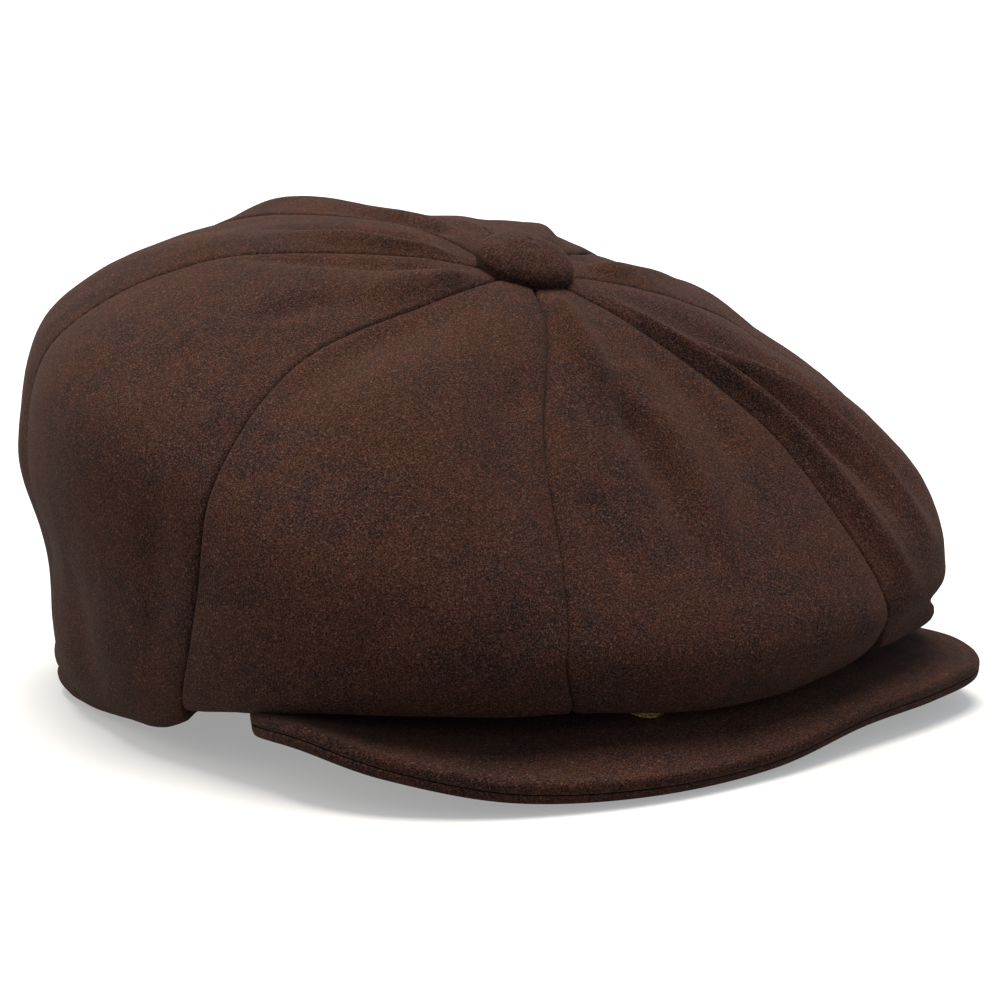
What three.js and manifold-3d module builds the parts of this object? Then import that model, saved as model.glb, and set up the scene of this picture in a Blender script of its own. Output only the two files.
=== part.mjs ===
// A soft eight-panel newsboy cap with a covered top button and a short stiff brim that the crown
// snaps down onto. Millimetres, +Z up, the brim points along -Y and the wearer's left is +X.
// The head opening's ellipse is modelled on the Z axis and the whole cap is moved at the end, so
// that its box is centred on the Z axis and it rests on Z = 0.
import * as THREE from 'three';
import { mergeVertices } from 'three/addons/utils/BufferGeometryUtils.js';
import Module from 'manifold-3d';

const wasm = await Module();
wasm.setup();

// ---------- driving dimensions ----------
const GAP = 0.3;                    // clearance between two touching pieces
const HEAD_HALF_WIDTH = 81;         // inside of the sweatband, for a 56 cm head
const HEAD_HALF_LENGTH = 97;
const SWEATBAND_THICK = 1;
const TAPE_THICK = 1;
const BAND_HEIGHT = 30;
const WOOL_THICK = 2;
const LINING_THICK = 0.8;
const SHIFT_Y = 20;                 // moves the middle of the cap's length onto the Z axis

const RIM_FLAT_FROM_Y = 87;         // behind this the rim lies flat on the table
const RIM_RISE = 14;                // and from there it curves up to the front of the head

const BUTTON_Y = -50;               // the eight seams meet here, in front of the head's middle
const BUTTON_Z = 109;
const BUTTON_RADIUS = 12.5;
const BUTTON_TILT = 24;             // degrees, the button leans to the front with the crown
const BUTTON_HOLE = 4;              // where the panels stop, round the button's shank

const PANEL_PUFF = 4;               // how far a panel swells between its seams
const TUCK_LIFT = 9;                // the front panels end this far above the rim, over the brim

const BRIM_ROOT_ANGLE = 52;         // degrees to each side of the front
const BRIM_ROOT_LIFT = 3;           // middle of the brim's thickness above the rim
const BOARD_THICK = 1.8;
const BRIM_WOOL = 1.5;

const SNAP_Y = -119;                // the snap holds the front fold to the brim here,
const SNAP_SIDE = -0.17;            // a little to the wearer's right of the brim's middle

// The middle of the brim's outer edge, from its right end to its left end. It curves up to both
// ends, and worn cloth and board have left it a little uneven.
const BRIM_EDGE = [
  [-93, -71, 12.4], [-100, -83, 14.4], [-99, -100, 14.6], [-89, -118, 10.2], [-67, -134, 5],
  [-36, -143, 3.3], [0, -143, 3.7], [35, -137, 7.1], [66, -131, 8.1], [91, -122, 9],
  [103, -104, 10.2], [102, -85, 10.9], [94, -72, 11.8],
];

// The crown's outline in five directions, each 45 degrees further from the front. Every pair is
// [reach, height] where one ring round the crown is crossed, from the button to the lower fold.
// A ring's reach is measured from its own centre, because the crown leans to the front.
const RING_CENTRE_Y = [-45, -27, -26, -21, -12, -6];
const CROWN_OUTLINE = [
  [[35, 95], [78, 71], [97, 48], [113, 33], [124, 23], [121, 16]],
  [[37, 100], [87, 81], [115, 54], [126, 36], [129, 26], [126, 20.5]],
  [[33, 110], [73, 103], [109, 82], [110, 46], [104, 13], [97, 3.2]],
  [[32, 118], [71, 119], [109, 98], [113, 58], [104, 24], [102, 8]],
  [[36, 123], [88, 122], [116, 101], [123, 67], [117, 27], [111, 7]],
];

// ---------- materials ----------
const material = (color, roughness, metalness = 0) =>
  new THREE.MeshStandardMaterial({ color, roughness, metalness });
const wool = () => material(0x4a3430, 0.95);
const boardPlastic = () => material(0x2b2b2d, 0.6);
const satin = () => material(0x2a1f1d, 0.45);
const grosgrain = () => material(0x3a2620, 0.55);
const buckram = () => material(0xb8ae9c, 0.9);
const brass = () => material(0xb08a4a, 0.35, 1);
const steel = () => material(0x9a9a9c, 0.4, 1);
const labelCloth = () => material(0xd8d2c4, 0.8);

// ---------- small helpers ----------
const rad = THREE.MathUtils.degToRad;
const vec = (x, y, z) => new THREE.Vector3(x, y, z);
const range = (count) => Array.from({ length: count }, (_, i) => i);
const steps = (from, to, count) => range(count + 1).map((i) => from + ((to - from) * i) / count);

// Turns a list of triangles into a mesh whose faces point out.
function solid(points, triangles) {
  const volume = triangles.reduce((sum, [a, b, c]) => {
    const cross = new THREE.Vector3().crossVectors(points[b], points[c]);
    return sum + points[a].dot(cross);
  }, 0);
  const faces = volume < 0 ? triangles.map(([a, b, c]) => [a, c, b]) : triangles;
  const geometry = new THREE.BufferGeometry();
  const numbers = points.flatMap((p) => p.toArray());
  geometry.setAttribute('position', new THREE.Float32BufferAttribute(numbers, 3));
  geometry.setIndex(faces.flat());
  return geometry;
}

// A closed sheet between two grids of points, outer and inner. When loop is true the columns close
// on themselves, as round a band.
function sheet(outer, inner, loop = false) {
  const columns = outer.length;
  const rows = outer[0].length;
  const points = [...outer.flat(), ...inner.flat()];
  const at = (layer, i, j) => layer * columns * rows + (i % columns) * rows + j;
  const triangles = [];
  const quad = (a, b, c, d) => triangles.push([a, b, c], [a, c, d]);
  const lastColumn = loop ? columns : columns - 1;
  for (let i = 0; i < lastColumn; i++) {
    for (let j = 0; j < rows - 1; j++) {
      quad(at(0, i, j), at(0, i + 1, j), at(0, i + 1, j + 1), at(0, i, j + 1));
      quad(at(1, i, j), at(1, i, j + 1), at(1, i + 1, j + 1), at(1, i + 1, j));
    }
    quad(at(0, i, 0), at(1, i, 0), at(1, i + 1, 0), at(0, i + 1, 0));
    quad(at(0, i, rows - 1), at(0, i + 1, rows - 1), at(1, i + 1, rows - 1), at(1, i, rows - 1));
  }
  if (!loop) {
    const end = columns - 1;
    for (let j = 0; j < rows - 1; j++) {
      quad(at(0, 0, j), at(0, 0, j + 1), at(1, 0, j + 1), at(1, 0, j));
      quad(at(0, end, j), at(1, end, j), at(1, end, j + 1), at(0, end, j + 1));
    }
  }
  return solid(points, triangles);
}

// A round piece turned about its own +Z from [radius, height] pairs.
function turned(profile, segments = 20) {
  const geometry = new THREE.LatheGeometry(profile.map(([r, h]) => new THREE.Vector2(r, h)), segments);
  geometry.rotateX(Math.PI / 2);
  return geometry;
}

function toManifold(geometry) {
  const bare = geometry.clone();
  bare.deleteAttribute('normal');
  bare.deleteAttribute('uv');
  const merged = mergeVertices(bare, 1e-4);
  const vertProperties = new Float32Array(merged.attributes.position.array);
  const triVerts = new Uint32Array(merged.index.array);
  return new wasm.Manifold(new wasm.Mesh({ numProp: 3, vertProperties, triVerts }));
}

function subtract(geometry, cutter) {
  const { vertProperties, triVerts } = toManifold(geometry).subtract(toManifold(cutter)).getMesh();
  const cut = new THREE.BufferGeometry();
  cut.setAttribute('position', new THREE.BufferAttribute(new Float32Array(vertProperties), 3));
  cut.setIndex(new THREE.BufferAttribute(new Uint32Array(triVerts), 1));
  return cut;
}

function mesh(name, geometry, look) {
  const part = new THREE.Mesh(geometry, look);
  part.name = name;
  return part;
}

// ---------- head opening ----------
// A point of the head opening's ellipse, grown by `outward`, at an angle from the front.
function openingPoint(angle, outward, z = 0) {
  const a = HEAD_HALF_WIDTH + outward;
  const b = HEAD_HALF_LENGTH + outward;
  const [s, c] = [Math.sin(angle), Math.cos(angle)];
  const reach = (a * b) / Math.hypot(b * s, a * c);
  return vec(reach * s, -reach * c, z);
}

function rimHeight(y) {
  const forward = Math.max(0, RIM_FLAT_FROM_Y - y) / (RIM_FLAT_FROM_Y + HEAD_HALF_LENGTH);
  return RIM_RISE * forward * forward;
}

// A band that stands on the rim, inside the panels.
function bandGeometry(inset, thick, bottom, height, segments = 48) {
  const wall = (outward) =>
    range(segments).map((i) => {
      const point = openingPoint((2 * Math.PI * i) / segments, outward);
      const base = rimHeight(point.y) + bottom;
      return [point.clone().setZ(base), point.clone().setZ(base + height)];
    });
  return sheet(wall(inset + thick), wall(inset), true);
}

// ---------- crown ----------
const FLAT_RIM_HEIGHT = 0.3;        // below this the panel's cut edge is level
const OUTER_HEM = SWEATBAND_THICK + TAPE_THICK + 3 * GAP + WOOL_THICK;
const PANELS = 8;
const closedCurve = (points) => new THREE.CatmullRomCurve3(points, true, 'catmullrom');

// The outline is the same to the left and the right, so eight directions make each ring.
const ringCurves = RING_CENTRE_Y.map((centreY, ring) =>
  closedCurve(range(PANELS).map((direction) => {
    const [reach, height] = CROWN_OUTLINE[Math.min(direction, PANELS - direction)][ring];
    const angle = rad(45 * direction);
    return vec(reach * Math.sin(angle), centreY - reach * Math.cos(angle), height);
  })));

function hemPoint(angle) {
  const point = openingPoint(angle, OUTER_HEM);
  const overBrim = THREE.MathUtils.smoothstep(-point.y, 42, 58);
  return point.setZ(rimHeight(point.y) + TUCK_LIFT * overBrim);
}

// Curves that run down the crown at every seam and every panel's middle, from the button to the hem.
const downCurves = range(2 * PANELS).map((k) => {
  const angle = (Math.PI * k) / PANELS;
  const start = vec(BUTTON_HOLE * Math.sin(angle), BUTTON_Y - BUTTON_HOLE * Math.cos(angle), BUTTON_Z);
  const rings = ringCurves.map((curve) => curve.getPoint(k / (2 * PANELS)));
  return new THREE.CatmullRomCurve3([start, ...rings, hemPoint(angle)], false, 'catmullrom');
});

// The smooth crown without its swelling: `angle` from the front, `down` from 0 at the button to 1.
function crownBase(angle, down) {
  const ring = closedCurve(downCurves.map((curve) => curve.getPoint(down)));
  return ring.getPoint(THREE.MathUtils.euclideanModulo(angle / (2 * Math.PI), 1));
}

// A point of one panel: `across` runs from -1 to 1 between its two seams.
function panelPoint(middleAngle, across, down) {
  const angle = middleAngle + (across * Math.PI) / PANELS;
  const point = crownBase(angle, down);
  const swell = PANEL_PUFF * (1 - across * across) * Math.sin(Math.PI * Math.min(down / 0.75, 1));
  point.x += 0.6 * swell * Math.sin(angle);
  point.y -= 0.6 * swell * Math.cos(angle);
  point.z += 0.5 * swell * Math.max(0, 1 - down / 0.5);
  return point;
}

function panelNormal(middleAngle, across, down) {
  const e = 0.01;
  const d0 = Math.max(down - e, 0);
  const d1 = Math.min(down + e, 1);
  const alongSeam = panelPoint(middleAngle, across, d1).sub(panelPoint(middleAngle, across, d0));
  const acrossPanel = panelPoint(middleAngle, across + e, down)
    .sub(panelPoint(middleAngle, across - e, down));
  return alongSeam.cross(acrossPanel).normalize();
}

// A panel's rows from the button down, closer together round the lower fold.
const PANEL_DOWN = [...steps(0, 0.66, 9), ...steps(0.71, 1, 7)];
const PANEL_COLUMNS = 6;

function panelGeometry(middleAngle) {
  const outer = [];
  const inner = [];
  for (const across of steps(-1, 1, PANEL_COLUMNS)) {
    const outerColumn = [];
    const innerColumn = [];
    for (const down of PANEL_DOWN) {
      const seam = panelPoint(middleAngle, across, down);
      const reach = Math.hypot(seam.x, seam.y - THREE.MathUtils.lerp(BUTTON_Y, 0, down));
      const halfGap = (0.6 * GAP * PANELS) / (Math.PI * reach);
      const inset = THREE.MathUtils.clamp(across, -1 + halfGap, 1 - halfGap);
      const point = panelPoint(middleAngle, inset, down);
      const inside = point.clone().addScaledVector(panelNormal(middleAngle, inset, down), -WOOL_THICK);
      if (down === 1 && rimHeight(point.y) < FLAT_RIM_HEIGHT) {
        point.z = Math.max(point.z, 0);
        inside.z = point.z;
      }
      outerColumn.push(point);
      innerColumn.push(inside);
    }
    outer.push(outerColumn);
    inner.push(innerColumn);
  }
  return sheet(outer, inner);
}

// ---------- brim ----------
const edgeCurve = new THREE.CatmullRomCurve3(
  BRIM_EDGE.map((point) => vec(...point)), false, 'catmullrom');

// The middle of the brim's thickness: `side` from -1 to 1, `out` from 0 at the root to 1.
function brimPoint(side, out) {
  const root = openingPoint(rad(BRIM_ROOT_ANGLE * side), OUTER_HEM - 1.4);
  root.z = rimHeight(root.y) + BRIM_ROOT_LIFT;
  return root.lerp(edgeCurve.getPointAt((side + 1) / 2), out);
}

function brimNormal(side, out) {
  const e = 0.02;
  const across = brimPoint(Math.min(side + e, 1), out).sub(brimPoint(Math.max(side - e, -1), out));
  const along = brimPoint(side, Math.min(out + e, 1)).sub(brimPoint(side, Math.max(out - e, 0)));
  return along.cross(across).normalize();
}

// One layer of the brim between two heights off its middle. `close` pinches the height nearest the
// middle at the outer edge, where the two cloths meet.
function brimLayer(low, high, outs, reach = 1, closeLow = low, closeHigh = high) {
  const layer = (height, closed) =>
    steps(-reach, reach, 24).map((side) =>
      outs.map((out) => {
        const offset = out === 1 ? closed : height;
        return brimPoint(side, out).addScaledVector(brimNormal(side, out), offset);
      }));
  return sheet(layer(high, closeHigh), layer(low, closeLow));
}

const BOARD_OUTS = steps(0.03, 0.92, 4);
const CLOTH_OUTS = [0, 0.25, 0.5, 0.75, 0.96, 1];
const CLOTH_FROM = BOARD_THICK / 2 + GAP;
const BRIM_SURFACE = CLOTH_FROM + BRIM_WOOL;

// ---------- snap ----------
// The snap stands on the brim's upper face and closes under the tucked front panel.
function faceAt(y, pointAt) {
  let [near, far] = [0, 1];
  for (let i = 0; i < 30; i++) {
    const middle = (near + far) / 2;
    if (pointAt(middle).y > y) near = middle;
    else far = middle;
  }
  return pointAt(near);
}
const brimTopAt = (out) =>
  brimPoint(SNAP_SIDE, out).addScaledVector(brimNormal(SNAP_SIDE, out), BRIM_SURFACE);
const snapFoot = faceAt(SNAP_Y, brimTopAt);
const snapNormal = brimNormal(SNAP_SIDE, 0.4);
const SNAP_TILT = Math.atan2(snapNormal.y, snapNormal.z);
const SNAP_RADIUS = 5;

function onSnapAxis(part) {
  part.position.copy(snapFoot);
  part.rotation.x = -SNAP_TILT;
  return part;
}

function snapHole(radius, low, high) {
  const hole = turned([[0, low], [radius, low], [radius, high], [0, high]], 16);
  hole.rotateX(-SNAP_TILT);
  hole.translate(snapFoot.x, snapFoot.y, snapFoot.z);
  return hole;
}

const SNAP_STUD = [[0.5, -1.8], [1.2, -1.8], [1.2, 0.3], [SNAP_RADIUS, 0.3], [SNAP_RADIUS, 0.8], [1.5, 0.8],
  [1.5, 1.4], [1.8, 1.8], [1.4, 2.3], [0.5, 2.3], [0.5, -1.8]];
const SNAP_RIVET = [[0, -3], [4.2, -3], [4.2, -2.3], [0, -2.3]];
const SNAP_SOCKET = [[2.5, 1.1], [SNAP_RADIUS, 1.1], [SNAP_RADIUS, 2.6], [4.6, 3], [1, 3], [1, 2.6],
  [2.9, 2.5], [2.9, 1.5], [2.5, 1.5], [2.5, 1.1]];
const SNAP_SPRING = [[2.15, 1.75], [2.6, 1.75], [2.6, 2.2], [2.15, 2.2], [2.15, 1.75]];
const SNAP_CAP = [[0, 3.3], [1.2, 3.3], [1.2, 7], [SNAP_RADIUS, 7], [4.4, 7.7], [0, 7.9]];

// ---------- lining ----------
// A dome over the head, lower at the front: `ring` is 0 in the middle and 1 where it meets the band.
const LINING_TOP = 92;
const LINING_INSET = 0.5;
function liningPoint(angle, ring, drop) {
  const edge = openingPoint(angle, LINING_INSET - drop);
  const edgeZ = rimHeight(edge.y) + BAND_HEIGHT + 2;
  const round = Math.sqrt(1 - Math.min(ring, 1) ** 2.5);
  return vec(edge.x * ring, edge.y * ring, edgeZ + (LINING_TOP - edgeZ) * round - drop * Math.sqrt(round));
}
const TIP_RING = 0.62;
const SEAM_GAP = 0.006;

function liningTip() {
  const segments = 32;
  const rings = [0, 0.16, 0.32, 0.47, TIP_RING - SEAM_GAP];
  const layer = (drop) => [
    liningPoint(0, 0, drop),
    ...range(segments).flatMap((i) =>
      rings.slice(1).map((ring) => liningPoint((2 * Math.PI * i) / segments, ring, drop))),
  ];
  const rows = rings.length - 1;
  const size = 1 + segments * rows;
  const at = (side, i, j) => side * size + 1 + (i % segments) * rows + j;
  const triangles = [];
  for (let i = 0; i < segments; i++) {
    triangles.push([0, at(0, i, 0), at(0, i + 1, 0)], [size, at(1, i + 1, 0), at(1, i, 0)]);
    for (let j = 0; j < rows - 1; j++) {
      const [a, b, c, d] = [at(0, i, j), at(0, i, j + 1), at(0, i + 1, j + 1), at(0, i + 1, j)];
      triangles.push([a, b, c], [a, c, d]);
      triangles.push([a + size, c + size, b + size], [a + size, d + size, c + size]);
    }
    const [e, f] = [at(0, i, rows - 1), at(0, i + 1, rows - 1)];
    triangles.push([e, e + size, f + size], [e, f + size, f]);
  }
  return solid([...layer(0), ...layer(LINING_THICK)], triangles);
}

function liningSide(from, to) {
  const rings = steps(TIP_RING + SEAM_GAP, 1, 5);
  const layer = (drop) =>
    steps(from, to, 16).map((angle) => rings.map((ring) => liningPoint(angle, ring, drop)));
  return sheet(layer(0), layer(LINING_THICK));
}

// ---------- assembly ----------
const cap = new THREE.Group();
cap.position.y = SHIFT_Y;

const PANEL_NAMES = ['panel_front', 'panel_front_left', 'panel_left', 'panel_back_left', 'panel_back',
  'panel_back_right', 'panel_right', 'panel_front_right'];
PANEL_NAMES.forEach((name, i) => {
  const panel = panelGeometry((2 * Math.PI * i) / PANELS);
  const shape = name === 'panel_front' ? subtract(panel, snapHole(1.6, 2, 8)) : panel;
  cap.add(mesh(name, shape, wool()));
});

const board = subtract(brimLayer(-BOARD_THICK / 2, BOARD_THICK / 2, BOARD_OUTS, 0.97), snapHole(5.2, -5, 0));
const topCloth = subtract(
  brimLayer(CLOTH_FROM, BRIM_SURFACE, CLOTH_OUTS, 1, GAP / 2, BRIM_WOOL), snapHole(1.6, -3, 1));
const underCloth = brimLayer(-BRIM_SURFACE, -CLOTH_FROM, CLOTH_OUTS, 1, -BRIM_WOOL, -GAP / 2);
cap.add(mesh('brim_board', board, boardPlastic()));
cap.add(mesh('brim_top_cloth', topCloth, wool()));
cap.add(mesh('brim_under_cloth', underCloth, wool()));

const tapeInset = SWEATBAND_THICK + GAP;
cap.add(mesh('sweatband', bandGeometry(0, SWEATBAND_THICK, 0.6, BAND_HEIGHT), grosgrain()));
cap.add(mesh('headband_tape', bandGeometry(tapeInset, TAPE_THICK, 0.4, BAND_HEIGHT - 2), buckram()));
cap.add(mesh('lining_tip', liningTip(), satin()));
cap.add(mesh('lining_side_left', liningSide(0.004, Math.PI - 0.004), satin()));
cap.add(mesh('lining_side_right', liningSide(Math.PI + 0.004, 2 * Math.PI - 0.004), satin()));

const labelLayer = (outward) =>
  steps(rad(170), rad(190), 6).map((angle) => [8, 22].map((z) => openingPoint(angle, outward, z)));
cap.add(mesh('blank_label', sheet(labelLayer(-2 * GAP), labelLayer(-2 * GAP - 0.5)), labelCloth()));

const button = new THREE.Group();
button.position.set(0, BUTTON_Y, BUTTON_Z + 2);
button.rotation.x = rad(BUTTON_TILT);
const R = BUTTON_RADIUS;
button.add(mesh('button_cover', turned([[0, 5.9], [R * 0.5, 5], [R - 2.8, 3.2], [R - 1.6, 1.2], [R - 3, 1],
  [R - 3, 0], [R - 0.6, 0.3], [R, 1.9], [R * 0.87, 4.2], [R * 0.55, 6.5], [0, 7.5]], 28), wool()));
button.add(mesh('button_shell', turned([[0, 5], [R * 0.47, 4.1], [R - 3.7, 2.5], [R - 2.7, 1.5],
  [R - 2.1, 1.5], [R - 3.2, 2.9], [R * 0.49, 4.7], [0, 5.6]], 24), steel()));
button.add(mesh('button_back', turned([[0, -6.8], [3, -6.8], [3, -6], [2, -6], [2, 0.4], [R - 3.4, 0.4],
  [R - 3.4, 1.2], [0, 1.2]], 20), steel()));
cap.add(button);

cap.add(onSnapAxis(mesh('snap_stud', turned(SNAP_STUD), brass())));
cap.add(onSnapAxis(mesh('snap_stud_washer', turned(SNAP_RIVET), brass())));
cap.add(onSnapAxis(mesh('snap_socket', turned(SNAP_SOCKET), brass())));
cap.add(onSnapAxis(mesh('snap_socket_spring', turned(SNAP_SPRING), steel())));
cap.add(onSnapAxis(mesh('snap_socket_cap', turned(SNAP_CAP), brass())));

const group = new THREE.Group();
group.add(cap);
export default group;
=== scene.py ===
import math

import bpy
import numpy as np
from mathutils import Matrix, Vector


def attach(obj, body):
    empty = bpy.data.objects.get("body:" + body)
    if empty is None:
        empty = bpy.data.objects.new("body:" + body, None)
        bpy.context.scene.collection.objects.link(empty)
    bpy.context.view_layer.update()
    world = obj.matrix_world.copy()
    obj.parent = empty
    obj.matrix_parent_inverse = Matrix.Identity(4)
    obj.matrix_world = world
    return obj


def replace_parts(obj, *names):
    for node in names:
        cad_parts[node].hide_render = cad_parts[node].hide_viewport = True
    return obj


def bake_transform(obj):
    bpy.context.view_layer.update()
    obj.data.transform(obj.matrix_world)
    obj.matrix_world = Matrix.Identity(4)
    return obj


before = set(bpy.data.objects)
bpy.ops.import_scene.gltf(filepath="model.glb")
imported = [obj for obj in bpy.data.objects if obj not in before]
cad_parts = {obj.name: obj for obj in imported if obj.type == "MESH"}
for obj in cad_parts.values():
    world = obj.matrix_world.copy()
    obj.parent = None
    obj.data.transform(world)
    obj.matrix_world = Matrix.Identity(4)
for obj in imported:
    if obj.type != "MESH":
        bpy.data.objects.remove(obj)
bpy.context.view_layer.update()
MM = 0.001

# ---------- camera ----------
CAMERA_TARGET = Vector((0, 0, 0.060))
CAMERA_AZIMUTH = math.radians(-36.2)
CAMERA_ELEVATION = math.radians(7.17)
CAMERA_DISTANCE = 0.600
CAMERA_LENS = 81.8
CAMERA_SHIFT = (0.0465, -0.044)


def add_camera():
    data = bpy.data.cameras.new("camera")
    data.sensor_width = 36
    data.lens = CAMERA_LENS
    data.shift_x, data.shift_y = CAMERA_SHIFT
    data.clip_start = 0.01
    data.clip_end = 100
    camera = bpy.data.objects.new("camera", data)
    bpy.context.scene.collection.objects.link(camera)
    back = Vector((
        math.sin(CAMERA_AZIMUTH) * math.cos(CAMERA_ELEVATION),
        -math.cos(CAMERA_AZIMUTH) * math.cos(CAMERA_ELEVATION),
        math.sin(CAMERA_ELEVATION),
    ))
    camera.location = CAMERA_TARGET + CAMERA_DISTANCE * back
    camera.rotation_mode = "QUATERNION"
    camera.rotation_quaternion = (-back).to_track_quat("-Z", "Y")
    bpy.context.scene.camera = camera


add_camera()

# ---------- the cap's shape, in millimetres, as in the CAD ----------
HEAD_HALF_WIDTH = 81      # inside the sweatband
HEAD_HALF_LENGTH = 97
SHIFT_Y = 20              # moves the middle of the cap's length to the frame's origin
RIM_FLAT_FROM_Y = 87
RIM_RISE = 14             # at the front, above the flat back of the rim
BUTTON_Y = -50
BUTTON_Z = 109
BUTTON_HOLE = 4           # where the panels stop, round the button's shank
BUTTON_RADIUS = 12.5
BUTTON_TILT = math.radians(24)
PANEL_PUFF = 4            # how far a panel's middle swells out between its seams
TUCK_LIFT = 9             # the front hem is this much higher, over the brim's root
OUTER_HEM = 4.9           # outward from the head opening
WOOL_THICK = 2
PANELS = 8
# The crown is six rings. A ring is given by [reach, height] in five directions, from the front to the
# back, and it is the same on both sides.
RING_CENTRE_Y = [-45, -27, -26, -21, -12, -6]
CROWN_OUTLINE = [
    [[35, 95], [78, 71], [97, 48], [113, 33], [124, 23], [121, 16]],
    [[37, 100], [87, 81], [115, 54], [126, 36], [129, 26], [126, 20.5]],
    [[33, 110], [73, 103], [109, 82], [110, 46], [104, 13], [97, 3.2]],
    [[32, 118], [71, 119], [109, 98], [113, 58], [104, 24], [102, 8]],
    [[36, 123], [88, 122], [116, 101], [123, 67], [117, 27], [111, 7]],
]
# The middle of the brim's outer edge, from its right end to its left end.
BRIM_EDGE = [
    [-93, -71, 12.4], [-100, -83, 14.4], [-99, -100, 14.6], [-89, -118, 10.2], [-67, -134, 5],
    [-36, -143, 3.3], [0, -143, 3.7], [35, -137, 7.1], [66, -131, 8.1], [91, -122, 9],
    [103, -104, 10.2], [102, -85, 10.9], [94, -72, 11.8],
]
BRIM_ROOT_ANGLE = math.radians(52)
BRIM_ROOT_LIFT = 3
BRIM_ROOT_OUTWARD = OUTER_HEM - 1.4


def spline(p0, p1, p2, p3, w):
    """A smooth curve's point between p1 and p2, at w from 0 to 1."""
    t0 = (p2 - p0) / 2
    t1 = (p3 - p1) / 2
    return p1 + w * (t0 + w * ((3 * p2 - 3 * p1 - 2 * t0 - t1) + w * (2 * p1 - 2 * p2 + t0 + t1)))


def closed_curve(points, t):
    n = len(points)
    place = (np.asarray(t, float) % 1.0) * n
    i = np.floor(place).astype(int) % n
    w = (place - np.floor(place))[..., None]
    return spline(points[(i - 1) % n], points[i], points[(i + 1) % n], points[(i + 2) % n], w)


def open_curve(points, t):
    n = len(points)
    longer = np.concatenate([[2 * points[0] - points[1]], points, [2 * points[-1] - points[-2]]])
    place = np.clip(np.asarray(t, float), 0, 1) * (n - 1)
    i = np.minimum(np.floor(place).astype(int), n - 2)
    w = (place - i)[..., None]
    return spline(longer[i], longer[i + 1], longer[i + 2], longer[i + 3], w)


def smoothstep(x, low, high):
    t = np.clip((x - low) / (high - low), 0, 1)
    return t * t * (3 - 2 * t)


def opening_point(angle, outward, z=0.0):
    """A point of the head opening's ellipse, grown by outward, at an angle from the front."""
    angle = np.asarray(angle, float)
    a = HEAD_HALF_WIDTH + outward
    b = HEAD_HALF_LENGTH + outward
    s = np.sin(angle)
    c = np.cos(angle)
    reach = a * b / np.hypot(b * s, a * c)
    return np.stack(np.broadcast_arrays(reach * s, -reach * c, z), -1)


def rim_height(y):
    """The rim lies flat at the back and rises towards the front."""
    forward = np.maximum(0, RIM_FLAT_FROM_Y - y) / (RIM_FLAT_FROM_Y + HEAD_HALF_LENGTH)
    return RIM_RISE * forward * forward


def ring_points(ring):
    points = []
    for direction in range(PANELS):
        reach, height = CROWN_OUTLINE[min(direction, PANELS - direction)][ring]
        angle = math.radians(45 * direction)
        points.append([reach * math.sin(angle), RING_CENTRE_Y[ring] - reach * math.cos(angle), height])
    return np.array(points, float)


def down_curve(k):
    """A line down the crown, from the button to the hem, at a seam or at the middle of a panel."""
    angle = math.pi * k / PANELS
    start = [BUTTON_HOLE * math.sin(angle), BUTTON_Y - BUTTON_HOLE * math.cos(angle), BUTTON_Z]
    rings = [closed_curve(ring_points(ring), k / (2 * PANELS)) for ring in range(len(RING_CENTRE_Y))]
    hem = opening_point(angle, OUTER_HEM)
    hem[2] = rim_height(hem[1]) + TUCK_LIFT * smoothstep(-hem[1], 42, 58)
    return np.array([start, *rings, hem], float)


DOWN_CURVES = [down_curve(k) for k in range(2 * PANELS)]


def crown_base(angle, down):
    """The CAD's crown at angle (columns, rows) and down (rows), from 0 at the button to 1."""
    curves = np.stack([open_curve(points, down) for points in DOWN_CURVES])
    place = (angle / (2 * math.pi) % 1.0) * len(curves)
    i = np.floor(place).astype(int) % len(curves)
    w = (place - np.floor(place))[..., None]
    row = np.broadcast_to(np.arange(len(down)), angle.shape)
    n = len(curves)
    around = [curves[(i + step) % n, row] for step in (-1, 0, 1, 2)]
    base = spline(*around, w)
    across = (angle / (math.pi / PANELS) + 1) % 2 - 1
    swell = PANEL_PUFF * (1 - across**2) * np.sin(np.pi * np.minimum(down / 0.75, 1))
    base[..., 0] += 0.6 * swell * np.sin(angle)
    base[..., 1] -= 0.6 * swell * np.cos(angle)
    base[..., 2] += 0.5 * swell * np.maximum(0, 1 - down / 0.5)
    return base


def crown_normal(angle, down):
    turn = 0.01
    step = 0.006
    lower = crown_base(angle, np.minimum(down + step, 1))
    upper = crown_base(angle, np.maximum(down - step, 0))
    along = lower - upper
    around = crown_base(angle + turn, down) - crown_base(angle - turn, down)
    normal = np.cross(along, around)
    return normal / np.linalg.norm(normal, axis=-1, keepdims=True)


# ---------- noise ----------
LATTICE = 32
lattice = np.random.default_rng(11).random((LATTICE, LATTICE, LATTICE)) * 2 - 1


def noise(points, size, seed=0):
    """Smooth noise from about -1 to 1, with lumps of about this size in the points' own unit."""
    place = points / size + 17.3 * seed
    i = np.floor(place).astype(int)
    w = place - i
    w = w * w * (3 - 2 * w)
    total = 0
    for dx in (0, 1):
        for dy in (0, 1):
            for dz in (0, 1):
                corner = lattice[
                    (i[..., 0] + dx) % LATTICE, (i[..., 1] + dy) % LATTICE, (i[..., 2] + dz) % LATTICE
                ]
                share = (
                    (w[..., 0] if dx else 1 - w[..., 0])
                    * (w[..., 1] if dy else 1 - w[..., 1])
                    * (w[..., 2] if dz else 1 - w[..., 2])
                )
                total = total + corner * share
    return total


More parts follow.
